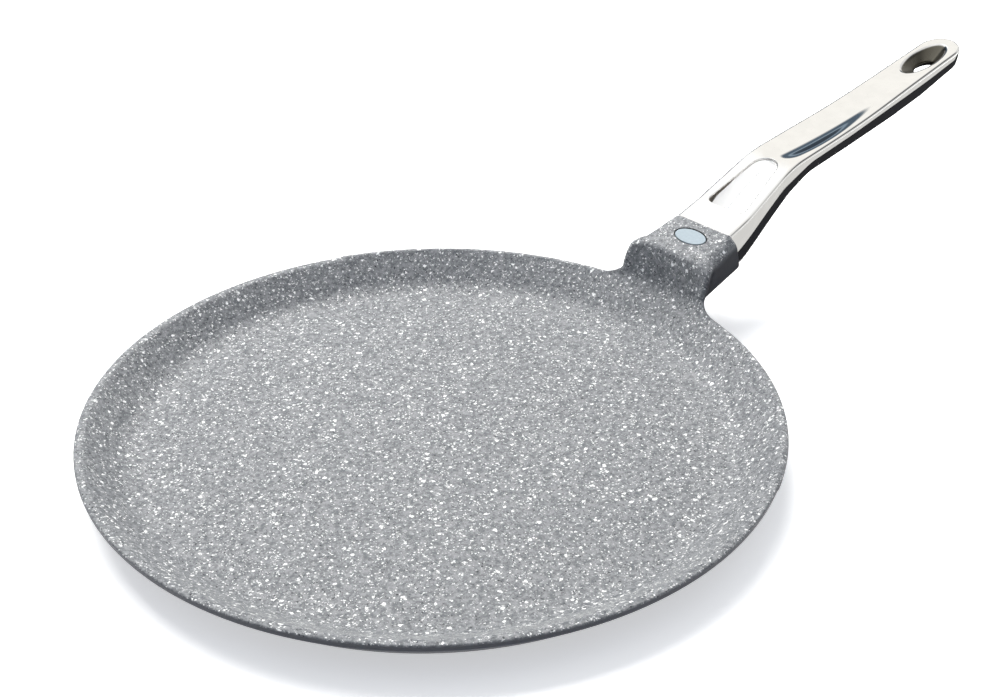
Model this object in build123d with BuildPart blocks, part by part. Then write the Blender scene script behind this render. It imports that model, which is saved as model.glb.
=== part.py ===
from build123d import *
import os
from math import cos, radians, sin, tan

# Crepe pan: a cast dish with its handle socket, and a cast handle screwed into it.
# Millimetres. The origin is the middle of the flat base, the handle runs along +X, +Z is up.
# A reach is measured outwards from the rim, a rise upwards from its top and a drop down from it.
# A share is of the way from the handle's bend to its tip, or in the neck from its start to the bend,
# and a distance is measured from the bend or from the tip.

# Dish
rim_diameter = 280.0
rim_height = 16.0
floor_thickness = 4.5
wall_angle = 36.0
lip_width = 3.2
lip_side_height = 2.4
lip_edge_bevel = 0.7
inner_fillet_radius = 18.0
base_inset = 14.5
base_corner_radius = 3.0

# Steel disc in the base
disc_inset = 25.5
disc_thickness = 0.8
disc_clearance = 0.1
disc_hole_width = 6.0
disc_hole_sides = 8
disc_hole_rings = 4
disc_holes_per_ring = 6

# Neck: the wall rises in front of the socket and flares into the lip on both sides
neck_angle = 76.0
neck_blend_radius = 10.0
neck_back_angle = 66.0
neck_back_rise = 0.8
neck_flank_angle = 66.0
neck_foot_half_width = 28.5
neck_foot_radius = 7.5
neck_foot_step = 0.1
neck_half_span = 36.0
neck_top_drop = 2.2
neck_back_edge_radius = 1.5

# Socket, measured along its own sloping axis from the screw
socket_angle = 15.7
crease_height = 18.15
screw_reach = 13.9
mouth_reach = 9.5
socket_root_top_width = 44.0
socket_mouth_top_width = 37.6
socket_bottom_width = 37.4
socket_depth = 19.2
socket_edge_radius = 4.5
mouth_edge_bevel = 0.4
crease_radius = 1.2
gusset_width = 28.0
gusset_reach = 6.0
gusset_corner_reach = 3.0
gusset_corner_drop = 3.2
gusset_foot_drop = 9.0
gusset_radius = 22.0
gusset_edge_radius = 4.0

# Screw, washer and the oval plug over them
plug_length = 16.4
plug_width = 9.0
plug_thickness = 2.0
plug_gap = 0.2
plug_edge_bevel = 0.25
head_bore_diameter = 9.0
head_diameter = 8.5
head_height = 3.5
head_gap = 0.3
head_edge_bevel = 0.5
hex_width = 4.0
hex_depth = 2.0
washer_diameter = 8.4
washer_thickness = 1.2
washer_slot = 1.0
screw_diameter = 5.0
screw_hole_clearance = 0.3
thread_clearance = 0.05
seat_thickness = 2.6
screw_end_gap = 0.5

# Tang
tang_width = 26.0
tang_thickness = 6.1
tang_length = 24.0
tang_end_gap = 0.5
tang_clearance = 0.05
tang_corner_radius = 1.5
tang_root_overlap = 2.0

# Handle outline from the side: its corners' reach past the rim, and their rise above it, for the
# top line and for the bottom line
root_top_inset = 0.1
root_bottom_inset = 0.1
neck_start_reach = 40.0
neck_start_top_rise = 28.4
bend_reach = 73.0
bend_top_rise = 42.2
sag_share = 0.404
sag_top_rise = 48.2
tip_reach = 219.0
tip_top_rise = 62.4
top_radius = 60.0
sag_radius = 600.0
belly_start_reach = 38.0
belly_start_rise = 6.2
belly_bend_rise = 28.5
belly_grip_distance = 15.0
belly_grip_rise = 34.9
belly_swell_share = 0.568
belly_swell_rise = 42.0
belly_hole_share = 0.733
belly_hole_rise = 45.5
belly_tip_rise = 55.0
belly_radius = 28.0
belly_start_radius = 14.0

# Handle outline from above: half widths at more places along its length
root_reach = 20.0
root_half_width = 15.7
neck_half_width = 15.4
middle_share = 0.545
middle_half_width = 14.0
bend_half_width = 12.9
palm_share = 0.185
palm_half_width = 12.7
sag_half_width = 12.0
taper_share = 0.664
taper_half_width = 11.0
tip_round_length = 12.0
tip_half_width = 10.5
handle_top_edge_bevel = 1.0
handle_bottom_edge_radius = 3.0

# Lower part of the neck's sides: where it starts, how wide the neck is there and how far it leans in
lean_reach = (20.0, 41.0, 72.0, 100.0)
lean_rise = (13.6, 18.2, 34.2, 40.0)
lean_half_width = (15.7, 15.35, 12.9, 12.7)
lean_angle = (6.0, 8.0, 8.0, 0.0)
lean_cut_height = 16.0
lean_cut_margin = 1.0
lean_cut_width = 8.0

# Channel and window in the neck: the web between the sides is thick at the root and thins soon after
channel_wall = 4.0
web_root_height = 3.4
web_thin_share = 0.515
web_thin_radius = 20.0
web_bend_height = 1.4
web_bend_radius = 30.0
channel_start_reach = 35.0
channel_end_distance = 4.0
channel_corner_radius = 3.0
window_start_reach = 40.5
window_end_distance = 1.2
window_start_half_width = 10.6
window_end_half_width = 5.4
window_corner_radius = 3.0

# Trough along the grip and the dished hanging hole, which is narrowest inside
trough_end_share = 0.794
trough_width = 19.0
trough_depth = 1.3
hole_tip_distance = 24.0
hole_top_length = 35.0
hole_top_width = 14.8
hole_waist_length = 21.0
hole_waist_width = 9.0
hole_waist_depth = 5.4
hole_waist_shift = 1.5
hole_bottom_length = 25.0
hole_bottom_width = 12.0
hole_bottom_depth = 12.0

overrun = 10.0
swing_room = 60.0

# Worked out from the sizes above
rim_radius = rim_diameter / 2
lip_inner_radius = rim_radius - lip_width
wall_rise = rim_height - floor_thickness
wall_foot_radius = lip_inner_radius - wall_rise / tan(radians(wall_angle))
base_radius = rim_radius - base_inset
disc_radius = base_radius - disc_inset
disc_hole_pitch = disc_radius / (disc_hole_rings + 1)
crease_z = rim_height + crease_height
gusset_corner_x = rim_radius + gusset_corner_reach
root_x = rim_radius + root_reach
neck_start_x = rim_radius + neck_start_reach
bend_x = rim_radius + bend_reach
middle_x = neck_start_x + middle_share * (bend_x - neck_start_x)
web_thin_x = neck_start_x + web_thin_share * (bend_x - neck_start_x)
tip_x = rim_radius + tip_reach
palm_x = bend_x + palm_share * (tip_x - bend_x)
sag_x = bend_x + sag_share * (tip_x - bend_x)
taper_x = bend_x + taper_share * (tip_x - bend_x)
tip_round_x = tip_x - tip_round_length
belly_start_x = rim_radius + belly_start_reach
belly_grip_x = bend_x + belly_grip_distance
belly_swell_x = bend_x + belly_swell_share * (tip_x - bend_x)
belly_hole_x = bend_x + belly_hole_share * (tip_x - bend_x)
channel_start_x = rim_radius + channel_start_reach
channel_end_x = bend_x + channel_end_distance
window_start_x = rim_radius + window_start_reach
window_end_x = bend_x + window_end_distance
trough_end_x = bend_x + trough_end_share * (tip_x - bend_x)
hole_x = tip_x - hole_tip_distance
neck_start_top = rim_height + neck_start_top_rise
bend_top = rim_height + bend_top_rise
sag_top = rim_height + sag_top_rise
tip_top = rim_height + tip_top_rise
belly_start_height = rim_height + belly_start_rise
belly_bend_height = rim_height + belly_bend_rise
belly_grip_height = rim_height + belly_grip_rise
belly_swell_height = rim_height + belly_swell_rise
belly_hole_height = rim_height + belly_hole_rise
belly_tip_height = rim_height + belly_tip_rise


def neck_front_radius(height):
    """Radius of the neck's front face, above the end of the arc that starts at the lip."""
    a, b = radians(wall_angle), radians(neck_angle)
    arc_radius = lip_inner_radius + neck_blend_radius * (sin(b) - sin(a))
    arc_height = rim_height + neck_blend_radius * (cos(a) - cos(b))
    return arc_radius + (height - arc_height) / tan(b)


crease_x = neck_front_radius(crease_z)
slope = radians(socket_angle)
socket_plane = Plane(
    origin=(crease_x + screw_reach * cos(slope), 0, crease_z + screw_reach * sin(slope)),
    x_dir=(cos(slope), 0, sin(slope)),
    z_dir=(-sin(slope), 0, cos(slope)),
)
socket_plane_axis = Axis(socket_plane.origin, socket_plane.z_dir)
seat_depth = plug_thickness + head_gap + head_height + washer_thickness
tang_top_depth = seat_depth + seat_thickness
screw_hole_radius = screw_diameter / 2 + screw_hole_clearance
head_underside = plug_thickness + head_gap + head_height
screw_end_depth = tang_top_depth + tang_thickness - screw_end_gap


def on_socket(along, depth=0.0):
    """A point in the middle plane, along the socket's axis and below its top face."""
    p = socket_plane.from_local_coords(Vector(along, 0, -depth))
    return (p.X, p.Z)


def across_socket(along):
    """The plane that cuts the socket squarely, its X to the left and its Y up."""
    p = socket_plane.from_local_coords(Vector(along, 0, 0))
    return Plane(origin=p, x_dir=(0, 1, 0), z_dir=(cos(slope), 0, sin(slope)))


def make_blank():
    """The outside of the dish as a solid disc with its wall and lip, not yet hollow."""
    with BuildPart() as blank:
        with BuildSketch(Plane.XZ):
            with BuildLine():
                outline = FilletPolyline(
                    (0, 0),
                    (base_radius, 0),
                    (rim_radius, rim_height - lip_side_height),
                    (rim_radius, rim_height - lip_edge_bevel),
                    (rim_radius - lip_edge_bevel, rim_height),
                    (0, rim_height),
                    radius=(base_corner_radius, 0, 0, 0),
                )
                Line(outline @ 1, outline @ 0)
            make_face()
        revolve(axis=Axis.Z)
    return blank.part


def make_void():
    """What is cut away inside: the cooking surface, the wall and the front of the neck in one turn."""
    top = crease_z + overrun
    with BuildPart() as void:
        with BuildSketch(Plane.XZ):
            with BuildLine():
                floor = FilletPolyline(
                    (0, floor_thickness),
                    (wall_foot_radius, floor_thickness),
                    (lip_inner_radius, rim_height),
                    radius=inner_fillet_radius,
                )
                turn = JernArc(floor @ 1, floor % 1, neck_blend_radius, neck_angle - wall_angle)
                Polyline(turn @ 1, (neck_front_radius(top), top), (0, top), floor @ 0)
            make_face()
        revolve(axis=Axis.Z)
    return void.part


def back_radius(height):
    """Radius of the neck's outer face."""
    return rim_radius + (height - rim_height - neck_back_rise) / tan(radians(neck_back_angle))


def make_neck():
    """The ring of wall that rises to the socket, cut to its bell shape seen along X."""
    top = crease_z - neck_top_drop
    bottom = rim_height - lip_side_height
    flank_run = (top - rim_height) / tan(radians(neck_flank_angle))
    foot = rim_height - neck_foot_step
    flank_middle = (back_radius(top), neck_foot_half_width - flank_run / 2, (top + foot) / 2)
    with BuildPart() as neck:
        with BuildSketch(Plane.XZ):
            with BuildLine():
                Polyline(
                    (wall_foot_radius, bottom),
                    (back_radius(bottom), bottom),
                    (back_radius(top), top),
                    (wall_foot_radius, top),
                    close=True,
                )
            make_face()
        revolve(axis=Axis.Z)
        with BuildSketch(Plane.YZ):
            with BuildLine():
                flank = FilletPolyline(
                    (neck_half_span, foot),
                    (neck_foot_half_width, foot),
                    (neck_foot_half_width - flank_run, top),
                    (0, top),
                    radius=(neck_foot_radius, 0),
                )
                Polyline(flank @ 1, (0, 0), (neck_half_span, 0), flank @ 0)
            make_face()
            mirror(about=Plane.YZ)
        extrude(amount=rim_radius + swing_room, mode=Mode.INTERSECT)
        for side in (1, -1):
            corner = (flank_middle[0], side * flank_middle[1], flank_middle[2])
            fillet(neck.edges().sort_by_distance(corner)[0], radius=neck_back_edge_radius)
    return neck.part


def socket_top_width(along):
    """Width of the socket's top face, which tapers evenly from the crease to the mouth."""
    share = (along + screw_reach) / (mouth_reach + screw_reach)
    return socket_root_top_width + share * (socket_mouth_top_width - socket_root_top_width)


def make_socket():
    """The socket's block, from inside the neck to its mouth."""
    with BuildPart() as socket:
        for along in (-screw_reach - overrun, mouth_reach):
            half_top = socket_top_width(along) / 2
            half_bottom = socket_bottom_width / 2
            with BuildSketch(across_socket(along)) as section:
                with BuildLine():
                    Polyline(
                        (-half_top, 0),
                        (half_top, 0),
                        (half_bottom, -socket_depth),
                        (-half_bottom, -socket_depth),
                        close=True,
                    )
                make_face()
                fillet(section.vertices(), radius=socket_edge_radius)
        loft()
        mouth = socket.faces().sort_by(Axis.X)[-1]
        chamfer(mouth.edges(), length=mouth_edge_bevel)
    return socket.part


def make_gusset():
    """The swelling under the socket that carries it on the wall."""
    with BuildPart() as gusset:
        with BuildSketch(Plane.XZ):
            with BuildLine():
                below = FilletPolyline(
                    on_socket(gusset_reach, socket_depth - crease_radius),
                    (gusset_corner_x, rim_height - gusset_corner_drop),
                    (base_radius, rim_height - gusset_foot_drop - crease_radius),
                    radius=gusset_radius,
                )
                Polyline(below @ 1, (base_radius, rim_height - neck_foot_step), below @ 0)
            make_face()
        extrude(amount=gusset_width / 2, both=True)
        for side in (1, -1):
            corner = (gusset_corner_x, side * gusset_width / 2, rim_height - gusset_corner_drop)
            fillet(gusset.edges().sort_by_distance(corner)[0], radius=gusset_edge_radius)
    return gusset.part


def make_screw_bore():
    """The oval pocket in the socket's top face, and the stepped round hole below it."""
    with BuildPart() as bore:
        with BuildSketch(socket_plane.offset(overrun)):
            Ellipse(plug_width / 2 + plug_gap, plug_length / 2 + plug_gap)
        extrude(amount=-plug_thickness - overrun)
        for radius, depth in ((head_bore_diameter / 2, seat_depth), (screw_hole_radius, tang_top_depth)):
            with BuildSketch(socket_plane):
                Circle(radius)
            extrude(amount=-depth)
    return bore.part


def make_tang(clearance, end_gap, outside):
    """The flat bar inside the socket, or with a clearance the pocket that takes it."""
    with BuildPart() as tang:
        with BuildSketch(across_socket(mouth_reach + outside)):
            with Locations((0, -tang_top_depth - tang_thickness / 2)):
                RectangleRounded(
                    tang_width + 2 * clearance,
                    tang_thickness + 2 * clearance,
                    tang_corner_radius + clearance,
                )
        extrude(amount=-tang_length - end_gap - outside)
    return tang.part


with BuildPart() as pan_body:
    add(make_neck())
    add(make_socket())
    add(make_gusset())
    add(make_blank())
    add(make_void(), mode=Mode.SUBTRACT)
    fillet(pan_body.edges().sort_by_distance((crease_x, 0, crease_z))[0], radius=crease_radius)
    with BuildSketch(Plane.XY):
        Circle(disc_radius + disc_clearance)
    extrude(amount=disc_thickness, mode=Mode.SUBTRACT)
    add(make_screw_bore(), mode=Mode.SUBTRACT)
    add(make_tang(tang_clearance, tang_end_gap, overrun), mode=Mode.SUBTRACT)
pan_body.part.label = "pan_body"


with BuildPart() as induction_disc:
    with BuildSketch(Plane.XY):
        Circle(disc_radius)
        for ring in range(1, disc_hole_rings + 1):
            with PolarLocations(ring * disc_hole_pitch, ring * disc_holes_per_ring):
                RegularPolygon(
                    disc_hole_width / 2, disc_hole_sides, major_radius=False, mode=Mode.SUBTRACT
                )
    extrude(amount=disc_thickness)
induction_disc.part.label = "induction_disc"


def top_line(root_drop, bend_drop):
    """Corners of the handle's top line from the socket's mouth to the tip, lowered by the drops."""
    start_x, start_z = on_socket(mouth_reach, root_top_inset)
    return (
        (start_x, start_z - root_drop),
        (neck_start_x, neck_start_top - root_drop),
        (bend_x, bend_top - bend_drop),
        (sag_x, sag_top - bend_drop),
        (tip_x, tip_top - bend_drop),
    )


def make_handle_blank():
    """The handle's outer form: its outline from the side crossed with its outline from above."""
    with BuildPart() as blank:
        with BuildSketch(Plane.XZ):
            with BuildLine():
                top = FilletPolyline(*top_line(0, 0), radius=(top_radius, top_radius, sag_radius))
                belly = FilletPolyline(
                    (tip_x, belly_tip_height),
                    (belly_hole_x, belly_hole_height),
                    (belly_swell_x, belly_swell_height),
                    (belly_grip_x, belly_grip_height),
                    (bend_x, belly_bend_height),
                    (belly_start_x, belly_start_height),
                    on_socket(mouth_reach, socket_depth - root_bottom_inset),
                    radius=(belly_radius, belly_radius, belly_radius, belly_radius, belly_start_radius),
                )
                Line(top @ 1, belly @ 0)
                Line(belly @ 1, top @ 0)
            make_face()
        extrude(amount=swing_room, both=True)
        with BuildSketch(Plane.XY):
            with BuildLine():
                side = Spline(
                    (root_x, root_half_width),
                    (neck_start_x, neck_half_width),
                    (middle_x, middle_half_width),
                    (bend_x, bend_half_width),
                    (palm_x, palm_half_width),
                    (sag_x, sag_half_width),
                    (taper_x, taper_half_width),
                    (tip_round_x, tip_half_width),
                    tangents=((1, 0), (1, 0)),
                )
                mirror(about=Plane.XZ)
                EllipticalCenterArc(
                    (tip_round_x, 0),
                    tip_x - tip_round_x,
                    tip_half_width,
                    start_angle=-90,
                    arc_size=180,
                )
                Line(side @ 0, (root_x, -root_half_width))
            make_face()
        extrude(amount=tip_top + overrun, mode=Mode.INTERSECT)
        low_edge = (sag_x, sag_half_width, belly_swell_height)
        fillet(blank.edges().sort_by_distance(low_edge)[0], radius=handle_bottom_edge_radius)
        high_edge = (sag_x, sag_half_width, sag_top)
        chamfer(blank.edges().sort_by_distance(high_edge)[0], length=handle_top_edge_bevel)
    return blank.part


def make_lean_cut():
    """What leaves the lower half of the neck's sides leaning inwards, fading out along the grip."""
    with BuildPart() as cut:
        stations = zip(lean_reach, lean_rise, lean_half_width, lean_angle)
        for reach, rise, half_width, angle in stations:
            lean = tan(radians(angle))
            step = lean_cut_margin if angle == 0 else 0
            height = rim_height + rise
            with BuildSketch(Plane.YZ.offset(rim_radius + reach)):
                with BuildLine():
                    Polyline(
                        (half_width + step + lean * lean_cut_margin, height + lean_cut_margin),
                        (half_width + step - lean * lean_cut_height, height - lean_cut_height),
                        (half_width + step + lean_cut_width, height - lean_cut_height),
                        close=True,
                    )
                make_face()
        loft(ruled=True)
    return cut.part


def top_point(x):
    """A point of the middle plane on the handle's top line, before its corners are rounded."""
    corners = ((neck_start_x, neck_start_top), (bend_x, bend_top), (sag_x, sag_top), (tip_x, tip_top))
    for (x1, z1), (x2, z2) in zip(corners, corners[1:]):
        if x <= x2:
            return Vector(x, 0, z1 + (z2 - z1) * (x - x1) / (x2 - x1))


def make_channel():
    """The hollow below the neck, as high as the web and closed at both ends."""
    start_half_width = neck_half_width - channel_wall
    end_half_width = bend_half_width - channel_wall
    with BuildPart() as channel:
        with BuildSketch(Plane.XZ):
            with BuildLine():
                start, neck_start, *others = top_line(web_root_height, web_bend_height)
                thin = (web_thin_x, top_point(web_thin_x).Z - web_bend_height)
                roof = FilletPolyline(
                    start,
                    neck_start,
                    thin,
                    *others,
                    radius=(top_radius, web_thin_radius, web_bend_radius, sag_radius),
                )
                Polyline(roof @ 1, (tip_x, 0), ((roof @ 0).X, 0), roof @ 0)
            make_face()
        extrude(amount=swing_room, both=True)
        with BuildSketch(Plane.XY) as plan:
            with BuildLine():
                Polyline(
                    (channel_start_x, start_half_width),
                    (channel_end_x, end_half_width),
                    (channel_end_x, -end_half_width),
                    (channel_start_x, -start_half_width),
                    close=True,
                )
            make_face()
            fillet(plan.vertices(), radius=channel_corner_radius)
        extrude(amount=tip_top + overrun, mode=Mode.INTERSECT)
    return channel.part


def make_window():
    """The opening through the web, wide at the root, narrow at the bend and wider below than above."""
    with BuildPart() as window:
        with BuildSketch(Plane.XY.offset(bend_top)) as plan:
            with BuildLine():
                Polyline(
                    (window_start_x, window_start_half_width),
                    (window_end_x, window_end_half_width),
                    (window_end_x, -window_end_half_width),
                    (window_start_x, -window_start_half_width),
                    close=True,
                )
            make_face()
            fillet(plan.vertices(), radius=window_corner_radius)
        extrude(amount=overrun)
        extrude(plan.sketch, amount=-bend_top)
    return window.part


def make_trough():
    """A long shallow scoop: an arc across the grip, swung on a large radius along it."""
    start = top_point(bend_x)
    end = top_point(trough_end_x)
    chord = Line(start, end)
    half_length = chord.length / 2
    sag = (chord @ 0.5).Z - top_point((bend_x + trough_end_x) / 2).Z
    swing_radius = (half_length**2 + (sag + trough_depth) ** 2) / (2 * (sag + trough_depth))
    section = Plane(origin=chord @ 0.5, x_dir=(0, 1, 0), z_dir=chord % 0)
    centre = section.from_local_coords(Vector(0, swing_radius - sag - trough_depth))
    half_width = trough_width / 2
    with BuildPart() as trough:
        with BuildSketch(section):
            with BuildLine():
                bow = ThreePointArc(
                    (-half_width, -sag),
                    (0, -sag - trough_depth),
                    (half_width, -sag),
                )
                Polyline(bow @ 1, (half_width, overrun), (-half_width, overrun), bow @ 0)
            make_face()
        revolve(axis=Axis(centre, (0, 1, 0)))
    return trough.part


def make_hole():
    """The hanging hole: a deep oval dish above, a small oval waist and a lesser dish below."""
    along = top_point(tip_x) - top_point(hole_x)
    top = Plane(origin=top_point(hole_x), x_dir=along, z_dir=along.rotate(Axis.Y, -90))
    sizes = (
        (0, 0, hole_top_length, hole_top_width),
        (hole_waist_depth, hole_waist_shift, hole_waist_length, hole_waist_width),
        (hole_bottom_depth, hole_waist_shift, hole_bottom_length, hole_bottom_width),
    )
    with BuildPart() as hole:
        for above, below in zip(sizes, sizes[1:]):
            for depth, shift, length, width in (above, below):
                with BuildSketch(top.offset(-depth)):
                    with Locations((shift, 0)):
                        Ellipse(length / 2, width / 2)
            loft()
        with BuildSketch(top):
            Ellipse(hole_top_length / 2, hole_top_width / 2)
        extrude(amount=overrun)
    return hole.part


with BuildPart() as handle:
    add(make_handle_blank())
    lean_cut = make_lean_cut()
    add(lean_cut, mode=Mode.SUBTRACT)
    add(mirror(lean_cut, about=Plane.XZ, mode=Mode.PRIVATE), mode=Mode.SUBTRACT)
    add(make_channel(), mode=Mode.SUBTRACT)
    add(make_window(), mode=Mode.SUBTRACT)
    add(make_trough(), mode=Mode.SUBTRACT)
    add(make_hole(), mode=Mode.SUBTRACT)
    add(make_tang(0, 0, tang_root_overlap))
    with BuildSketch(socket_plane.offset(-seat_depth)):
        Circle(screw_diameter / 2 + thread_clearance)
    extrude(amount=-socket_depth, mode=Mode.SUBTRACT)
handle.part.label = "handle"


with BuildPart() as handle_screw:
    with BuildSketch(socket_plane.offset(-head_underside)):
        Circle(head_diameter / 2)
    extrude(amount=head_height)
    head_edge = handle_screw.edges().sort_by(socket_plane_axis)[-1]
    chamfer(head_edge, length=head_edge_bevel)
    with BuildSketch(socket_plane.offset(-head_underside)):
        Circle(screw_diameter / 2)
    extrude(amount=head_underside - screw_end_depth)
    with BuildSketch(socket_plane.offset(head_height - head_underside)):
        RegularPolygon(hex_width / 2, 6, major_radius=False)
    extrude(amount=-hex_depth, mode=Mode.SUBTRACT)
handle_screw.part.label = "handle_screw"


with BuildPart() as spring_washer:
    with BuildSketch(socket_plane.offset(-head_underside)):
        Circle(washer_diameter / 2)
        Circle(screw_hole_radius, mode=Mode.SUBTRACT)
        with Locations((washer_diameter / 2, 0)):
            Rectangle(washer_diameter, washer_slot, mode=Mode.SUBTRACT)
    extrude(amount=-washer_thickness)
spring_washer.part.label = "spring_washer"


with BuildPart() as screw_plug:
    with BuildSketch(socket_plane):
        Ellipse(plug_width / 2, plug_length / 2)
    extrude(amount=-plug_thickness)
    chamfer(screw_plug.edges().sort_by(socket_plane_axis)[-1], length=plug_edge_bevel)
screw_plug.part.label = "screw_plug"

os.makedirs("parts", exist_ok=True)
export_step(pan_body.part, "parts/pan_body.step")
export_step(induction_disc.part, "parts/induction_disc.step")
export_step(handle.part, "parts/handle.step")
export_step(handle_screw.part, "parts/handle_screw.step")
export_step(spring_washer.part, "parts/spring_washer.step")
export_step(screw_plug.part, "parts/screw_plug.step")
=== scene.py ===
import math
import bpy
import numpy as np
from mathutils import Matrix, Vector


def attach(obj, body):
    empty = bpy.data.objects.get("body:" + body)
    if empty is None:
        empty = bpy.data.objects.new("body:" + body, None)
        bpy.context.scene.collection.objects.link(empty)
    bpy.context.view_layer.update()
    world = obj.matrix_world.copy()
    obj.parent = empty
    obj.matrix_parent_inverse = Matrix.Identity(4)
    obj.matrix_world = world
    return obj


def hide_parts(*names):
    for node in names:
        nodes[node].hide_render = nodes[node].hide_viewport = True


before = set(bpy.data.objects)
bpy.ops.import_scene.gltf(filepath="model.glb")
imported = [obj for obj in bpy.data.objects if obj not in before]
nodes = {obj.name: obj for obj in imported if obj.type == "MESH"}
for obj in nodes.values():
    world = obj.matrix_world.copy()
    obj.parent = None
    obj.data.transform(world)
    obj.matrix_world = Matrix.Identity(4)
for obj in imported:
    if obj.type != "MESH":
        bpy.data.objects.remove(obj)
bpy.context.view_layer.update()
scene = bpy.context.scene
MM = 0.001


# Shapes: each is a field, negative inside the solid, positive outside and zero on its skin.
# Lengths in the fields are millimetres, in the same frame as the solids.

def round_max(a, b, radius):
    """What two fields share, with the edge between them rounded."""
    corner = np.hypot(np.maximum(a + radius, 0), np.maximum(b + radius, 0))
    return np.minimum(np.maximum(a, b), -radius) + corner


def round_min(a, b, radius):
    """Two fields joined, with a hollow of this radius between them."""
    return -round_max(-a, -b, radius)


def soft_max(a, b, width):
    """The larger of two fields that meet at a shallow angle, blended over a width."""
    near = np.maximum(width - np.abs(a - b), 0)
    return np.maximum(a, b) + near * near / (4 * width)


def smooth_step(value, low, high):
    t = np.clip((value - low) / (high - low), 0, 1)
    return t * t * (3 - 2 * t)


def oval(u, v, a, b):
    """Distance outside an ellipse, close to true near its edge."""
    k0 = np.hypot(u / a, v / b)
    k1 = np.hypot(u / (a * a), v / (b * b)) + 1e-9
    return k0 * (k0 - 1) / k1


class Profile:
    """A height along a line, through corners that are rounded to arcs and then slightly softened."""

    def __init__(self, corners, radii, soft=1.0, step=0.1):
        points = [np.array(corners[0], float)]
        for before, corner, after, radius in zip(corners, corners[1:], corners[2:], radii):
            p0, p1, p2 = (np.array(p, float) for p in (before, corner, after))
            d1 = (p1 - p0) / np.linalg.norm(p1 - p0)
            d2 = (p2 - p1) / np.linalg.norm(p2 - p1)
            turn = math.atan2(d1[0] * d2[1] - d1[1] * d2[0], d1 @ d2)
            if abs(turn) < 1e-6 or radius == 0:
                points.append(p1)
                continue
            side = math.copysign(1.0, turn)
            start = p1 - d1 * radius * math.tan(abs(turn) / 2)
            centre = start + radius * side * np.array((-d1[1], d1[0]))
            arm = start - centre
            for share in np.linspace(0, 1, 25):
                c, s = math.cos(turn * share), math.sin(turn * share)
                points.append(centre + (arm[0] * c - arm[1] * s, arm[0] * s + arm[1] * c))
        points.append(np.array(corners[-1], float))
        line = np.array(points)
        self.x = np.arange(line[0, 0], line[-1, 0] + step, step)
        height = np.interp(self.x, line[:, 0], line[:, 1])
        if soft:
            reach = int(3 * soft / step)
            weights = np.exp(-0.5 * (np.arange(-reach, reach + 1) * step / soft) ** 2)
            padded = np.pad(height, reach, mode="reflect", reflect_type="odd")
            height = np.convolve(padded, weights / weights.sum(), mode="valid")
        self.height = height
        self.lean = np.cos(np.arctan(np.gradient(height, self.x)))

    def __call__(self, x):
        return np.interp(x, self.x, self.height)

    def above(self, x, z):
        """How far a point lies above the profile, squarely to it."""
        return (z - np.interp(x, self.x, self.height)) * np.interp(x, self.x, self.lean)


def gradient(field, p, reach=0.06):
    """The field's slope at each point, by steps to both sides."""
    out = np.empty_like(p)
    for axis in range(3):
        q = p.copy()
        q[:, axis] += reach
        high = field(*q.T)
        q[:, axis] -= 2 * reach
        out[:, axis] = (high - field(*q.T)) / (2 * reach)
    return out


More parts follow.
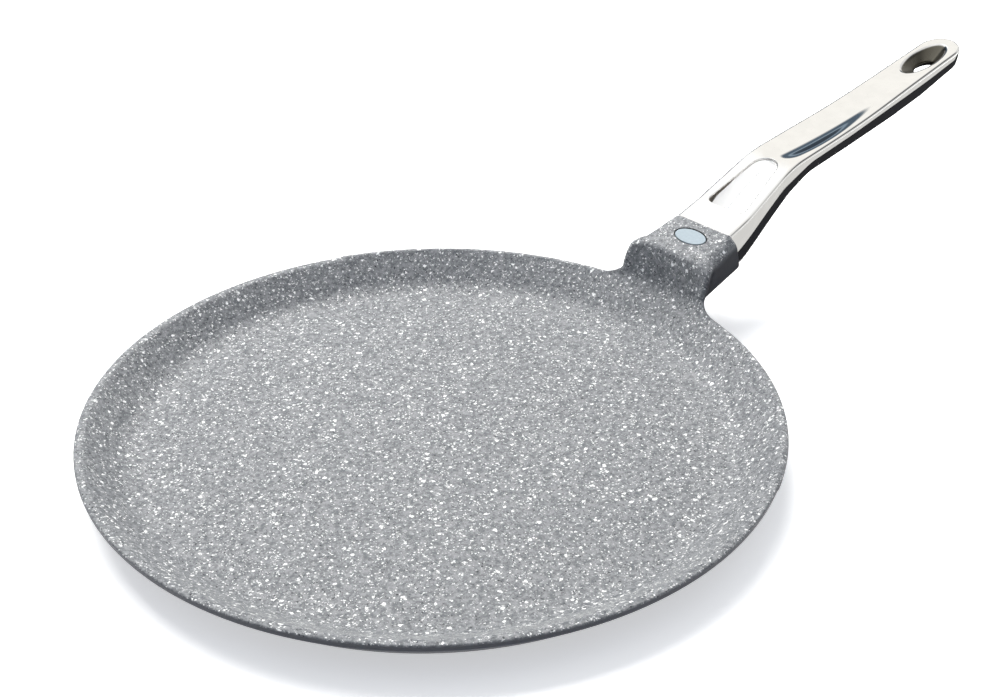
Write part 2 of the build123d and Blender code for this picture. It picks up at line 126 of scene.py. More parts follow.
def skin(name, field, axes, place=lambda u, v, w: (u, v, w), ring=False):
    """A mesh of a field's skin: a vertex in each cell of a grid that the skin crosses, moved on to it.

    With ring, the second axis is an angle that closes on itself and the first is a radius.
    """
    u, v, w = axes
    grid = np.meshgrid(u, v, w, indexing="ij", sparse=True)
    value = np.broadcast_to(field(*place(*grid)), (len(u), len(v), len(w)))
    if ring:
        value = np.concatenate((value, value[:, :1]), axis=1)
        v = np.append(v, v[0] + 2 * math.pi)
    shape = np.array(value.shape) - 1
    total = np.zeros(tuple(shape) + (3,))
    count = np.zeros(tuple(shape))
    rings = []
    for axis in range(3):
        low, high = [slice(None)] * 3, [slice(None)] * 3
        low[axis], high[axis] = slice(None, -1), slice(1, None)
        a, b = value[tuple(low)], value[tuple(high)]
        where = np.argwhere((a < 0) != (b < 0))
        if ring and axis != 1:
            where = where[where[:, 1] < shape[1]]
        a, b = a[tuple(where.T)], b[tuple(where.T)]
        spot = where.astype(float)
        spot[:, axis] += a / (a - b)
        around = []
        for back in ((0, 0), (1, 0), (1, 1), (0, 1)):
            cell, moved = where.copy(), spot.copy()
            for other, step in zip([o for o in range(3) if o != axis], back):
                cell[:, other] -= step
            if ring:
                moved[cell[:, 1] < 0, 1] += shape[1]
                cell[:, 1] %= shape[1]
            fits = np.all((cell >= 0) & (cell < shape), axis=1)
            np.add.at(total, tuple(cell[fits].T), moved[fits])
            np.add.at(count, tuple(cell[fits].T), 1)
            around.append((cell, fits))
        rings.append((around, (a < 0) == (axis == 1)))
    used = np.argwhere(count > 0)
    number = np.full(tuple(shape), -1)
    number[tuple(used.T)] = np.arange(len(used))
    middle = total[tuple(used.T)] / count[tuple(used.T)][:, None]
    lines = [np.interp(middle[:, i], np.arange(len(line)), line) for i, line in enumerate((u, v, w))]
    points = np.stack(place(*lines), axis=1)
    faces = []
    for around, flip in rings:
        fits = np.all([fit for _, fit in around], axis=0)
        corners = np.stack([number[tuple(cell[fits].T)] for cell, _ in around], axis=1)
        corners[flip[fits]] = corners[flip[fits]][:, ::-1]
        faces += corners.tolist()
    for k in range(shape[2]) if ring else ():
        loop = number[0, :, k]
        if (loop >= 0).all():
            points = np.vstack((points, points[loop].mean(axis=0)))
            after = np.roll(loop, -1)
            if gradient(field, points[-1:])[0, 2] < 0:
                loop, after = after, loop
            faces += [[i, j, len(points) - 1] for i, j in zip(loop.tolist(), after.tolist())]
    for _ in range(4):
        slope = gradient(field, points)
        move = -field(*points.T) / np.maximum((slope * slope).sum(axis=1), 0.2)
        points += np.clip(move, -0.4, 0.4)[:, None] * slope
    points[:, 2] = np.maximum(points[:, 2], 0)
    normals = gradient(field, points, 0.1)
    normals /= np.linalg.norm(normals, axis=1)[:, None] + 1e-12
    mesh = bpy.data.meshes.new(name)
    mesh.from_pydata((points * MM).tolist(), [], faces)
    mesh.shade_smooth()
    mesh.normals_split_custom_set_from_vertices(normals.tolist())
    piece = bpy.data.objects.new(name, mesh)
    scene.collection.objects.link(piece)
    return piece


# The socket's own axis, on which the screw, the plug and the handle's root sit
SLOPE = math.radians(15.7)
SCREW = (157.118, 37.911)
SOCKET_DEPTH = 19.2
SOCKET_START, TAPER_START, SOCKET_MOUTH = -24, -13.9, 9.5
HALF_BEHIND, HALF_AT_MOUTH, HALF_BELOW = 22, 18.8, 18.7
PLUG_POCKET, PLUG_POCKET_DEPTH = (4.7, 8.4), 2.0
HEAD_BORE, HEAD_BORE_DEPTH = 4.5, 7.0
SHANK_BORE, SHANK_BORE_DEPTH = 2.8, 9.6

# Half width, half height and reach behind the screw, of the tang and of the pocket that it sits in
TANG, TANG_POCKET = (13, 3.05, 14.5), (13.05, 3.1, 15.05)
TANG_DEPTH, TANG_FRONT, TANG_BORE = 12.65, 11.5, 2.55

# The dish, the neck that rises from its lip, the gusset under the neck and the disc's recess
RIM_RADIUS, LIP_HEIGHT = 140, 16
WALL_FOOT, WALL_OUT, WALL_DOWN = 125.5, 0.6841, 0.7294
NECK_START, NECK_TOP, NECK_FLOOR = 16.8, 31.95, 13.6
NECK_SLANT, NECK_SLANT_SINE = math.radians(66), 0.9135
GUSSET_START, GUSSET_HALF, GUSSET_TOP, GUSSET_RISE = 118, 14, 15.9, 0.149
DISC_RADIUS, DISC_DEPTH = 100.1, 0.8


def on_socket(x, z):
    """How far a point lies along the socket from the screw, and how deep below its top face."""
    dx, dz = x - SCREW[0], z - SCREW[1]
    return dx * math.cos(SLOPE) + dz * math.sin(SLOPE), dx * math.sin(SLOPE) - dz * math.cos(SLOPE)


void_line = Profile(
    ((0, 4.5), (120.97, 4.5), (136.8, 16), (139.745, 18.139), (150.18, 60)), (18, 0, 10), soft=0
)
flank_line = Profile(((8, 61.94), (28.5, 15.9), (60, 15.9)), (7.5,), soft=0)
gusset_line = Profile(((100, -4.4), (143, 12.8), (190, 30.6)), (22,), soft=0)


def pan_field(x, y, z):
    """The casting: dish, neck and socket, less its inside and the pockets for the tang, screw and plug."""
    r = np.hypot(x, y)
    across = np.abs(y)
    along, depth = on_socket(x, z)
    wall = (r - WALL_FOOT) * WALL_OUT - z * WALL_DOWN
    dish = round_max(round_max(round_max(wall, r - RIM_RADIUS, 0.6), -z, 0.8), z - LIP_HEIGHT, 0.7)
    back = (r - RIM_RADIUS - (z - NECK_START) / math.tan(NECK_SLANT)) * NECK_SLANT_SINE
    neck = round_max(round_max(back, flank_line.above(across, z), 2.5), z - NECK_TOP, 1.0)
    neck = np.maximum(neck, np.maximum(NECK_FLOOR - z, 60 - x))
    taper = (along - TAPER_START) / (SOCKET_MOUTH - TAPER_START)
    half_top = HALF_BEHIND + taper * (HALF_AT_MOUTH - HALF_BEHIND)
    side = across - half_top - (HALF_BELOW - half_top) * depth / SOCKET_DEPTH
    socket = round_max(round_max(-depth, side, 6.5), depth - SOCKET_DEPTH, 4.5)
    socket = np.maximum(round_max(socket, along - SOCKET_MOUTH, 0.6), SOCKET_START - along)
    gusset = round_max(-gusset_line.above(x, z), across - GUSSET_HALF, 4.0)
    gusset_top = z - GUSSET_TOP - (x - WALL_FOOT) * GUSSET_RISE
    gusset = np.maximum(gusset, np.maximum(gusset_top, GUSSET_START - x))
    solid = round_min(dish, round_min(neck, socket, 6.0), 3.0)
    solid = round_min(solid, gusset, 3.0)
    # the inner edge is crisp round the lip and softer over the neck and down its flanks
    edge = 0.6 + smooth_step(z, 17, 22) * (1.2 + 1.6 * smooth_step(across, 13, 19))
    solid = round_max(solid, void_line.above(r, z), edge)
    pocket = np.maximum(oval(along, y, *PLUG_POCKET), depth - PLUG_POCKET_DEPTH)
    solid = round_max(solid, -pocket, 0.35)
    from_screw = np.hypot(along, y)
    head = np.maximum(from_screw - HEAD_BORE, depth - HEAD_BORE_DEPTH)
    shank = np.maximum(from_screw - SHANK_BORE, depth - SHANK_BORE_DEPTH)
    half, thick, reach = TANG_POCKET
    tang = np.maximum(np.maximum(across - half, np.abs(depth - TANG_DEPTH) - thick), -reach - along)
    recess = np.maximum(r - DISC_RADIUS, z - DISC_DEPTH)
    return np.maximum(solid, -np.minimum(np.minimum(np.minimum(head, shank), tang), recess))


# The handle, from the side: its top, the channel's roof, its underside and where its sides start to lean in
top_line = Profile(
    ((150, 35.61), (180, 44.4), (213, 58.2), (272, 64.2), (359, 78.4), (370, 80.2)), (60, 60, 600, 0)
)
roof_line = Profile(
    ((150, 32.21), (180, 41.0), (197, 49.71), (213, 56.8), (272, 62.8), (359, 77.0)), (60, 20, 60, 600)
)
belly_line = Profile(
    (
        (155, 21.83), (178, 22.2), (213, 44.3), (228, 50.4),
        (295.9, 57.3), (320, 60.9), (359, 70.6), (370, 73.3),
    ),
    (14, 28, 28, 28, 28, 0),
)
lean_line = Profile(
    (
        (150, 20.0), (175, 31.0), (186, 37.0), (198, 43.9), (212, 50.3), (228, 56.2),
        (260, 59.6), (307, 66.0), (328, 69.4), (347, 73.2), (370, 77.6),
    ),
    (0,) * 9, soft=3,
)
# Its half width, from above
half_line = Profile(
    (
        (150, 15.8), (180, 15.4), (198, 14.0), (213, 12.9), (240, 12.7),
        (272, 12.0), (310, 11.0), (347, 10.5), (370, 10.5),
    ),
    (0,) * 7, soft=6,
)
TIP_START, TIP_LENGTH, TIP_HALF = 347, 12, 10.5
SIDE_LEAN = 8

CHANNEL_START, CHANNEL_HALF, CHANNEL_TAPER = 175, 11.4, 0.0595

# The channel runs out in a slope: where it is at which height, and how far it goes for each millimetre down
RUN_OUT, RUN_OUT_HEIGHT, RUN_OUT_SLOPE = 217, 54.5, 1.3

WINDOW_START, WINDOW_END, WINDOW_HALF, WINDOW_TAPER = 180.5, 214.2, 10.6, 0.1543

# The trough is part of a ring whose middle lies high above the handle
TROUGH = (189.0, 620.3)
TROUGH_SWING, TROUGH_RADIUS = 527.59, 35.36

# The hanging hole, by depth: half length, half width and how far its middle moves towards the tip
HOLE = (335, 74.48)
HOLE_COSINE, HOLE_SINE = 0.9869, 0.1612
hole_length = Profile(((0, 17.5), (0.9, 16.0), (5.4, 6.4), (9.4, 9.5), (12, 11.0)), (0, 1, 4), soft=0.4)
hole_width = Profile(((0, 7.4), (0.9, 6.2), (5.4, 2.8), (9.4, 6.6), (12, 8.0)), (0, 1, 4), soft=0.4)
hole_shift = Profile(((0, 0), (5.4, 0.5), (12, 0.5)), (0,), soft=0.5)


def hole_place(x, z):
    """How far a point lies along the handle from the hanging hole, and how deep below the handle's top."""
    u, w = x - HOLE[0], z - HOLE[1]
    return HOLE_COSINE * u + HOLE_SINE * w, np.maximum(HOLE_SINE * u - HOLE_COSINE * w, 0)


def window_field(x, y):
    """The window through the neck, from above."""
    sides = (np.abs(y) - WINDOW_HALF + (x - WINDOW_START) * WINDOW_TAPER) * 0.988
    return round_max(round_max(sides, WINDOW_START - x, 3.0), x - WINDOW_END, 6.0)


def handle_field(x, y, z):
    """The handle: its outline from the side and from above, less the channel, window, trough and hole."""
    across = np.abs(y)
    along, depth = on_socket(x, z)
    drop = lean_line(x) - z
    drop = 0.5 * (drop + np.sqrt(drop * drop + 0.6))
    tip = oval(np.maximum(x - TIP_START, 0), y, TIP_LENGTH, TIP_HALF)
    side = np.where(x < TIP_START, across - half_line(x), tip) + np.tan(np.radians(SIDE_LEAN)) * drop
    body = round_max(top_line.above(x, z), side, 1.6)
    body = round_max(body, -belly_line.above(x, z), 1.2)
    channel = across - CHANNEL_HALF + (x - CHANNEL_START) * CHANNEL_TAPER
    channel = round_max(channel, roof_line.above(x, z), 1.2)
    run_out = (x - RUN_OUT - RUN_OUT_SLOPE * (RUN_OUT_HEIGHT - z)) * 0.61
    channel = round_max(round_max(channel, CHANNEL_START - x, 3.0), run_out, 2.0)
    body = round_max(body, -channel, 0.4)
    body = round_max(body, -window_field(x, y), 0.35)
    swing = np.hypot(x - TROUGH[0], z - TROUGH[1])
    body = soft_max(body, TROUGH_RADIUS - np.hypot(swing - TROUGH_SWING, y), 0.6)
    u, inside = hole_place(x, z)
    hole = oval(u - hole_shift(inside), y, hole_length(inside), hole_width(inside))
    body = round_max(body, -hole, 0.6)
    body = np.maximum(body, SOCKET_MOUTH - along)
    half, thick, reach = TANG
    tang = np.maximum(across - half, np.abs(depth - TANG_DEPTH) - thick)
    tang = np.maximum(tang, np.maximum(-reach - along, along - TANG_FRONT))
    body = np.minimum(body, tang)
    return np.maximum(body, TANG_BORE - np.hypot(along, y))


def spread(*runs):
    """Grid lines in runs of (end, step), from the first value on."""
    start, *rest = runs
    line = [start]
    for end, step in rest:
        count = max(1, round((end - line[-1]) / step))
        line += list(np.linspace(line[-1], end, count + 1)[1:])
    return np.array(line)


def corners_of(piece):
    """The mesh's vertices, in millimetres."""
    flat = np.empty(3 * len(piece.data.vertices))
    piece.data.vertices.foreach_get("co", flat)
    return flat.reshape(-1, 3).T / MM


def mark(piece, name, values):
    """A mask on the mesh, for its material to read."""
    layer = piece.data.attributes.new(name, "FLOAT", "POINT")
    layer.data.foreach_set("value", np.clip(values, 0, 1).astype(np.float32))


def make_handle():
    axes = (spread(140, (170, 0.8), (364, 0.5)), spread(-17.1, (17.1, 0.5)), spread(14, (82, 0.5)))
    piece = skin("polished_handle", handle_field, axes)
    x, y, z = corners_of(piece)
    across = np.abs(y)
    below = top_line(x) - z

    u, depth = hole_place(x, z)
    # inside the hanging hole the steel is rougher, and painted shade darkens its colour
    rough_hole_painted_shade = smooth_step(-oval(u - 0.2, y, 16.9, 6.9), -0.2, 0.4) * smooth_step(depth, 0.25, 0.8)
    mark(piece, "rough_hole_painted_shade", rough_hole_painted_shade * (x > 300))

    # painted shade darkens the window's walls, over a height that shrinks towards the bend
    wall = 1 - smooth_step(np.abs(window_field(x, y)), 0.9, 1.3)
    painted_window_shade = wall * smooth_step(below, 0.25, 0.5) * (z > roof_line(x) - 3.0)
    reach = np.interp(x, (181, 197), (6.5, 1.1))
    painted_window_shade *= (1 - smooth_step(below - reach, -0.2, 0.2)) * (1 - 0.35 * smooth_step(x, 192, 203))
    mark(piece, "painted_window_shade", painted_window_shade)

    # the channel and the window's walls are made matte and less metallic, and painted near-white as a painted
    # reflection of the pale floor
    upward = gradient(handle_field, np.stack((x, y, z), axis=1), 0.2)[:, 2]
    hollow = smooth_step(11.7 - (x - CHANNEL_START) * CHANNEL_TAPER - across, 0.0, 0.25)
    hollow = hollow * (z < roof_line(x) + 0.3) * (upward < 0.5)
    slot = smooth_step(10.9 - (x - WINDOW_START) * 0.154 - across, 0.0, 0.2)
    slot = slot * smooth_step(below, 0.4, 0.8) * (x < 216.5)
    matte_painted_reflection = np.maximum(hollow, slot) * (x > CHANNEL_START) * (x < 232) * (z > belly_line(x) + 0.5)
    mark(piece, "matte_painted_reflection", matte_painted_reflection)

    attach(piece, "root")
    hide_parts("handle")
    return piece


def make_pan():
    radii = spread(
        1, (97, 6), (98.5, 0.8), (102, 0.5), (118, 4), (129, 0.9),
        (141.2, 0.6), (150, 0.65), (164, 0.4), (175, 0.65),
    )
    half_turn = spread(0, (3.4, 0.15), (16.6, 0.28), (180, 2.0))[:-1]
    angles = np.radians(np.concatenate((-half_turn[:0:-1], half_turn)))
    heights = spread(-0.4, (1.6, 0.4), (17.2, 0.52), (33.6, 0.62), (41.4, 0.4))

    def place(r, a, z):
        return r * np.cos(a), r * np.sin(a), z

    piece = skin("coated_casting", pan_field, (radii, angles, heights), place, ring=True)
    x, y, z = corners_of(piece)
    normal = gradient(pan_field, np.stack((x, y, z), axis=1), 0.4)
    normal /= np.linalg.norm(normal, axis=1)[:, None] + 1e-9
    inner = smooth_step(void_line.above(np.hypot(x, y), z), -0.9, -0.3)
    outer = 1 - smooth_step(normal[:, 2], 0.05, 0.75)
    mark(piece, "navy", outer * (1 - inner))
    along, depth = on_socket(x, z)
    # painted shade: a dark line round the plug's pocket, where shadow falls in the gap between plug and
    # casting
    beside_plug = np.abs(oval(along, y, *PLUG_POCKET) - 0.1)
    mark(piece, "painted_gap_shade", (1 - smooth_step(beside_plug, 0.15, 0.42)) * (depth < 2.2))
    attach(piece, "root")
    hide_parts("pan_body")
    return piece


def linear(r, g, b):
    """A colour given as 0 to 255 on screen, as the shader wants it."""
    def one(c):
        c /= 255.0
        return c / 12.92 if c <= 0.04045 else ((c + 0.055) / 1.055) ** 2.4
    return (one(r), one(g), one(b), 1.0)


class Graph:
    """A material's nodes, with short calls for the ones used here."""

    def __init__(self, name):
        self.material = bpy.data.materials.new(name)
        self.material.use_nodes = True
        self.tree = self.material.node_tree
        self.tree.nodes.clear()
        self.output = self.tree.nodes.new("ShaderNodeOutputMaterial")
        self.shader = self.tree.nodes.new("ShaderNodeBsdfPrincipled")
        self.tree.links.new(self.shader.outputs["BSDF"], self.output.inputs["Surface"])

    def link(self, value, socket):
        if isinstance(value, bpy.types.NodeSocket):
            self.tree.links.new(value, socket)
        else:
            socket.default_value = value

    def add(self, kind, inputs=None, **settings):
        node = self.tree.nodes.new(kind)
        for key, value in settings.items():
            setattr(node, key, value)
        for key, value in (inputs or {}).items():
            self.link(value, node.inputs[key])
        return node

    def math(self, operation, a, b):
        return self.add("ShaderNodeMath", {0: a, 1: b}, operation=operation).outputs[0]

    def place(self):
        return self.add("ShaderNodeTexCoord").outputs["Object"]

    def noise(self, place, scale, detail=2.0, roughness=0.5):
        inputs = {"Vector": place, "Scale": scale, "Detail": detail, "Roughness": roughness}
        return self.add("ShaderNodeTexNoise", inputs)

    def ramp(self, value, low, high, to_low=0.0, to_high=1.0):
        inputs = {"Value": value, 1: low, 2: high, 3: to_low, 4: to_high}
        return self.add("ShaderNodeMapRange", inputs, interpolation_type="SMOOTHSTEP").outputs[0]

    def mix(self, share, a, b):
        node = self.add("ShaderNodeMix", data_type="RGBA")
        self.link(share, node.inputs[0])
        self.link(a, node.inputs[6])
        self.link(b, node.inputs[7])
        return node.outputs[2]

    def bump(self, height, strength, distance):
        inputs = {"Height": height, "Strength": strength, "Distance": distance}
        return self.add("ShaderNodeBump", inputs).outputs[0]

    def set(self, **sockets):
        for key, value in sockets.items():
            self.link(value, self.shader.inputs[key.replace("_", " ")])
        return self.material


def specks(g, place, size, presence, small, large, salt):
    """A mask of spots: one cell in so many holds a spot, whose radius runs between two shares of the cell."""
    moved = g.add("ShaderNodeVectorMath", {0: place, 1: (salt, salt * 1.7, salt * 0.6)}, operation="ADD")
    cell = g.add("ShaderNodeTexVoronoi", {"Vector": moved.outputs[0], "Scale": 1.0 / size})
    draws = g.add("ShaderNodeSeparateColor", {"Color": cell.outputs["Color"]})
    there = g.math("LESS_THAN", draws.outputs[0], presence)
    radius = g.ramp(draws.outputs[1], 0.0, 1.0, small, large)
    inner = g.math("MULTIPLY", radius, 0.72)
    limits = {"Value": cell.outputs["Distance"], 1: inner, 2: radius, 3: 1.0, 4: 0.0}
    spot = g.add("ShaderNodeMapRange", limits)
    return g.math("MULTIPLY", spot.outputs[0], there)


def stone_material():
    """Pale and dark specks on a mottled grey, over to plain dark navy where the mask says so."""
    g = Graph("stone_coating")
    place = g.place()
    shake = g.noise(place, 900.0, 3.0, 0.6)
    middle = (0.5, 0.5, 0.5)
    centred = g.add("ShaderNodeVectorMath", {0: shake.outputs["Color"], 1: middle}, operation="SUBTRACT")
    offset = g.add("ShaderNodeVectorMath", {0: centred.outputs[0], "Scale": 0.0026}, operation="SCALE")
    warped = g.add("ShaderNodeVectorMath", {0: place, 1: offset.outputs[0]}, operation="ADD").outputs[0]
    cloud = g.noise(place, 520.0, 4.0, 0.75).outputs["Fac"]
    navy = g.add("ShaderNodeAttribute", attribute_name="navy").outputs["Fac"]
    base = g.mix(g.ramp(cloud, 0.36, 0.64), linear(92, 95, 99), linear(138, 140, 142))
    base = g.mix(specks(g, warped, 0.0011, 0.40, 0.16, 0.42, 3.0), base, linear(160, 161, 161))
    base = g.mix(specks(g, warped, 0.0012, 0.42, 0.16, 0.36, 9.0), base, linear(40, 41, 44))
    keep = g.math("SUBTRACT", 1.0, g.ramp(navy, 0.05, 0.8))
    fine = g.math("MULTIPLY", specks(g, warped, 0.0011, 0.62, 0.14, 0.42, 5.0), keep)
    large = g.math("MULTIPLY", specks(g, warped, 0.0026, 0.36, 0.12, 0.34, 7.0), keep)
    outer = g.mix(g.ramp(cloud, 0.35, 0.65), linear(26, 30, 40), linear(34, 38, 49))
    base = g.mix(navy, base, outer)
    base = g.mix(fine, base, linear(232, 233, 232))
    base = g.mix(large, base, linear(240, 241, 240))
    # painted shade: near-black in the gap round the plug's pocket
    painted_gap_shade = g.add("ShaderNodeAttribute", attribute_name="painted_gap_shade").outputs["Fac"]
    base = g.mix(painted_gap_shade, base, linear(22, 22, 24))
    grain = g.noise(place, 1500.0, 3.0, 0.6).outputs["Fac"]
    rough = g.ramp(cloud, 0.2, 0.8, 0.36, 0.5)
    return g.set(Base_Color=base, Roughness=rough, IOR=1.45, Normal=g.bump(grain, 0.3, 0.00015))


def steel_material():
    """A mirror polish. Inside the hole it is duller and darkened by painted shade, on the window's walls it
    is darkened by painted shade, and in the channel it is matte, less metallic and painted near-white as a
    painted reflection of the pale floor.
    """
    g = Graph("polished_steel")
    place = g.place()
    cloud = g.noise(place, 120.0, 3.0).outputs["Fac"]
    rough_hole_painted_shade = g.add("ShaderNodeAttribute", attribute_name="rough_hole_painted_shade").outputs["Fac"]
    painted_window_shade = g.add("ShaderNodeAttribute", attribute_name="painted_window_shade").outputs["Fac"]
    matte_painted_reflection = g.add("ShaderNodeAttribute", attribute_name="matte_painted_reflection").outputs["Fac"]
    base = g.mix(g.ramp(cloud, 0.3, 0.7), linear(240, 240, 239), linear(245, 245, 244))
    # painted reflection: near-white in the channel and on the window's walls; painted shade: darker in the
    # hole and on the window's walls
    base = g.mix(matte_painted_reflection, base, linear(250, 250, 249))
    base = g.mix(rough_hole_painted_shade, base, linear(104, 101, 92))
    base = g.mix(painted_window_shade, base, linear(96, 90, 84))
    dull = g.math("MAXIMUM", g.math("MULTIPLY", rough_hole_painted_shade, 0.6), matte_painted_reflection)
    rough = g.math("ADD", g.ramp(cloud, 0.25, 0.75, 0.03, 0.05), g.math("MULTIPLY", dull, 0.4))
    lost = g.math("SUBTRACT", 0.9, g.math("MULTIPLY", painted_window_shade, 0.6))
    metal = g.math("SUBTRACT", 1.0, g.math("MULTIPLY", matte_painted_reflection, lost))
    return g.set(Base_Color=base, Metallic=metal, Roughness=rough)


def plain_material(name, low, high, scale, rough_low, rough_high, metallic=0.0):
    g = Graph(name)
    cloud = g.noise(g.place(), scale, 4.0, 0.6).outputs["Fac"]
    base = g.mix(g.ramp(cloud, 0.3, 0.7), low, high)
    bump = g.bump(cloud, 0.15, 0.0001)
    rough = g.ramp(cloud, 0.25, 0.75, rough_low, rough_high)
    return g.set(Base_Color=base, Metallic=metallic, Roughness=rough, Normal=bump)


def dress(name, material):
    """Gives a CAD solid its material."""
    node = nodes[name]
    node.data.materials.clear()
    node.data.materials.append(material)


pan = make_pan()
pan.data.materials.append(stone_material())
handle = make_handle()
handle.data.materials.append(steel_material())
rubber = plain_material("plug_rubber", linear(150, 162, 169), linear(157, 170, 177), 900.0, 0.45, 0.6)
dress("screw_plug", rubber)
steel = plain_material("machined_steel", linear(170, 171, 172), linear(196, 197, 198), 1500.0, 0.25, 0.4, 1.0)
for name in ("induction_disc", "handle_screw", "spring_washer"):
    dress(name, steel)


def stage_mesh(name, points, faces, material):
    mesh = bpy.data.meshes.new(name)
    mesh.from_pydata([tuple(p) for p in points], [], faces)
    mesh.materials.append(material)
    piece = bpy.data.objects.new(name, mesh)
    scene.collection.objects.link(piece)
    return piece


def glow(name, colour):
    """A card's surface: it only gives off its own colour."""
    g = Graph(name)
    cloud = g.noise(g.place(), 2.0, 2.0).outputs["Fac"]
    dim = tuple(c * 0.94 for c in colour[:3]) + (1.0,)
    tone = g.mix(cloud, colour, dim)
    return g.set(Base_Color=(0, 0, 0, 1), Emission_Color=tone, Emission_Strength=1.0, Roughness=1.0)


def paper_floor():
    reach, count = 12.0, 8
    ticks = [reach * (2 * i / count - 1) for i in range(count + 1)]
    points = [(x, y, 0.0) for y in ticks for x in ticks]
    faces = []
    for j in range(count):
        for i in range(count):
            k = j * (count + 1) + i
            faces.append((k, k + 1, k + count + 2, k + count + 1))
    g = Graph("studio_paper")
    cloud = g.noise(g.place(), 3.0, 3.0).outputs["Fac"]
    paper = g.mix(cloud, linear(240, 240, 240), linear(245, 245, 245))
    g.set(Base_Color=paper, Roughness=0.9, Emission_Color=(1, 1, 1, 1), Emission_Strength=0.5)
    return stage_mesh("studio_floor", points, faces, g.material)


def only_reflected(piece):
    """A card that shows in polished metal and nowhere else."""
    piece.visible_camera = False
    piece.visible_diffuse = False
    piece.visible_shadow = False
    piece.visible_transmission = False
    return piece


def blend(a, b, share):
    return a + (b - a) * share[..., None]


def band(value, low, low_full, high_full, high):
    """One between two limits, fading to none outside them."""
    return smooth_step(value, low, low_full) * (1 - smooth_step(value, high_full, high))


def sky(bearing, lift):
    """What polished metal sees each way, in degrees: a pale softbox behind, dark flags beside and below."""
    def tone(*rgb):
        return np.broadcast_to(np.array(rgb), bearing.shape + (3,))

    colour = blend(tone(0.60, 0.62, 0.65), tone(0.78, 0.775, 0.76), band(bearing, -130, -100, 20, 30))
    softbox = blend(tone(1.03, 1.005, 0.955), tone(1.16, 1.16, 1.15), smooth_step(bearing, 42, 56))
    colour = blend(colour, softbox, band(bearing, 8, 16, 140, 165))
    colour = blend(colour, tone(1.0, 1.0, 0.99), smooth_step(lift, 62, 74))

    # the flag that draws the thin grey line along the grip's near edge
    flag = band(bearing, -64, -52, -22, -10) * band(lift, 22, 30, 46, 56)
    colour = blend(colour, tone(0.10, 0.10, 0.10), flag)

    # the dark horizon that draws the streak in the trough, with the paler line inside it
    bearings = (20, 53, 55, 56, 57.5, 59.5, 60.5, 64, 68, 110)
    top = np.interp(bearing, bearings, (26, 27, 29, 26.8, 27.6, 30, 31.5, 36, 38, 38))
    dark = blend(tone(0.035, 0.048, 0.065), tone(0.085, 0.12, 0.16), smooth_step(lift - top, -9, -1))
    line = band(lift, 20.2, 21.2, 21.8, 22.8) * (1 - smooth_step(bearing, 56.7, 57.2))
    dark = blend(dark, tone(0.24, 0.31, 0.38), line)
    return blend(colour, dark, (1 - smooth_step(lift - top, -1.2, 1.6)) * band(bearing, 14, 22, 108, 120))


def reflected_sky(distance=20.0):
    """A dome that carries the sky's tones, seen only in reflections."""
    bearing = np.concatenate((np.arange(-180, 20, 4.0), np.arange(20, 100, 0.4), np.arange(100, 181, 4.0)))
    lift = np.concatenate((np.arange(-2, 40, 0.7), np.arange(40, 89, 3.0), (89.5,)))
    a, b = np.meshgrid(np.radians(bearing), np.radians(lift), indexing="ij")
    points = distance * np.stack((np.cos(b) * np.cos(a), np.cos(b) * np.sin(a), np.sin(b)), axis=2)
    rows = len(lift)
    faces = []
    for i in range(len(bearing) - 1):
        for k in range(i * rows, (i + 1) * rows - 1):
            faces.append((k, k + rows, k + rows + 1, k + 1))
    g = Graph("reflected_sky_glow")
    tone = g.add("ShaderNodeAttribute", attribute_name="tone").outputs["Color"]
    g.set(Base_Color=(0, 0, 0, 1), Roughness=1.0, Emission_Color=tone, Emission_Strength=1.0)
    piece = only_reflected(stage_mesh("reflected_sky", points.reshape(-1, 3).tolist(), faces, g.material))
    colours = sky(*np.meshgrid(bearing, lift, indexing="ij")).reshape(-1, 3)
    colours = np.hstack((colours, np.ones((len(colours), 1)))).astype(np.float32)
    layer = piece.data.attributes.new("tone", "FLOAT_COLOR", "POINT")
    layer.data.foreach_set("color", colours.ravel())


def handle_cards():
    """A black card under and behind the handle and a grey one beside it, which meet along one edge."""
    edge = ((150, -28), (217, -39), (240, -42), (277, -50), (300, -60), (372, -66), (620, -76))
    for name, colour, height, rest in (
        ("black_card_under", (0.010, 0.010, 0.013, 1.0), 0.4, ((4000, -76), (4000, 4004), (150, 4004))),
        ("grey_card_beside", (0.72, 0.71, 0.69, 1.0), 0.3, ((620, -396), (150, -396))),
    ):
        points = [(x * MM, y * MM, height * MM) for x, y in edge + rest]
        only_reflected(stage_mesh(name, points, [tuple(range(len(points)))], glow(name + "_glow", colour)))


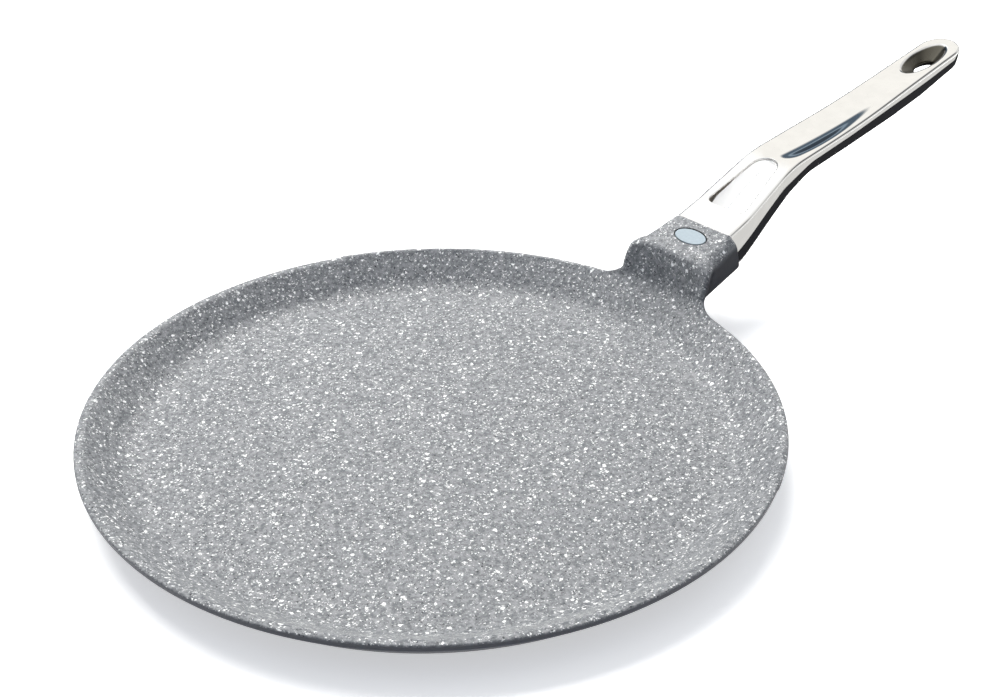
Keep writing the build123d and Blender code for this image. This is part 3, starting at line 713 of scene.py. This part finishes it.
def area_light(name, place, target, width, height, power, colour=(1, 1, 1)):
    data = bpy.data.lights.new(name, "AREA")
    data.shape = "RECTANGLE"
    data.size, data.size_y = width, height
    data.energy = power
    data.color = colour
    light = bpy.data.objects.new(name, data)
    scene.collection.objects.link(light)
    light.location = place
    light.rotation_euler = (Vector(target) - Vector(place)).to_track_quat("-Z", "Y").to_euler()
    light.visible_glossy = False
    return light


paper_floor()
handle_cards()
reflected_sky()
area_light("key", (0.45, 1.05, 1.25), (0.0, 0.0, 0.0), 1.5, 1.2, 60.0, (1.0, 0.985, 0.96))


def studio_world():
    """Pale behind the pan, and dimmer and bluer on the camera's side."""
    world = bpy.data.worlds.new("studio_world")
    scene.world = world
    world.use_nodes = True
    tree = world.node_tree
    way = tree.nodes.new("ShaderNodeTexCoord")
    apart = tree.nodes.new("ShaderNodeSeparateXYZ")
    tree.links.new(way.outputs["Generated"], apart.inputs[0])
    total = tree.nodes.new("ShaderNodeMath")
    total.operation = "ADD"
    tree.links.new(apart.outputs[0], total.inputs[0])
    tree.links.new(apart.outputs[1], total.inputs[1])
    share = tree.nodes.new("ShaderNodeMapRange")
    tree.links.new(total.outputs[0], share.inputs["Value"])
    share.inputs[1].default_value = -0.9
    share.inputs[2].default_value = 0.5
    mix = tree.nodes.new("ShaderNodeMix")
    mix.data_type = "RGBA"
    tree.links.new(share.outputs[0], mix.inputs[0])
    mix.inputs[6].default_value = (0.22, 0.26, 0.34, 1.0)
    mix.inputs[7].default_value = (0.55, 0.56, 0.57, 1.0)
    tree.links.new(mix.outputs[2], tree.nodes["Background"].inputs[0])
    tree.nodes["Background"].inputs[1].default_value = 1.0


studio_world()

camera_data = bpy.data.cameras.new("camera")
camera_data.sensor_fit = "HORIZONTAL"
camera_data.sensor_width = 36.0
camera_data.lens = 59.52
camera_data.clip_start = 0.05
camera = bpy.data.objects.new("camera", camera_data)
scene.collection.objects.link(camera)
# It looks down at 31 degrees, from in front of the dish and to the right of the handle
back = Vector((-0.5999, -0.6126, 0.5146)).normalized()
right = Vector((0.7145, -0.6997, 0.0)).normalized()
up = back.cross(right)
camera.matrix_world = Matrix((
    (right.x, up.x, back.x, -367.1 * MM),
    (right.y, up.y, back.y, -413.2 * MM),
    (right.z, up.z, back.z, 376.5 * MM),
    (0, 0, 0, 1),
))
scene.camera = camera
scene.view_settings.view_transform = "Standard"
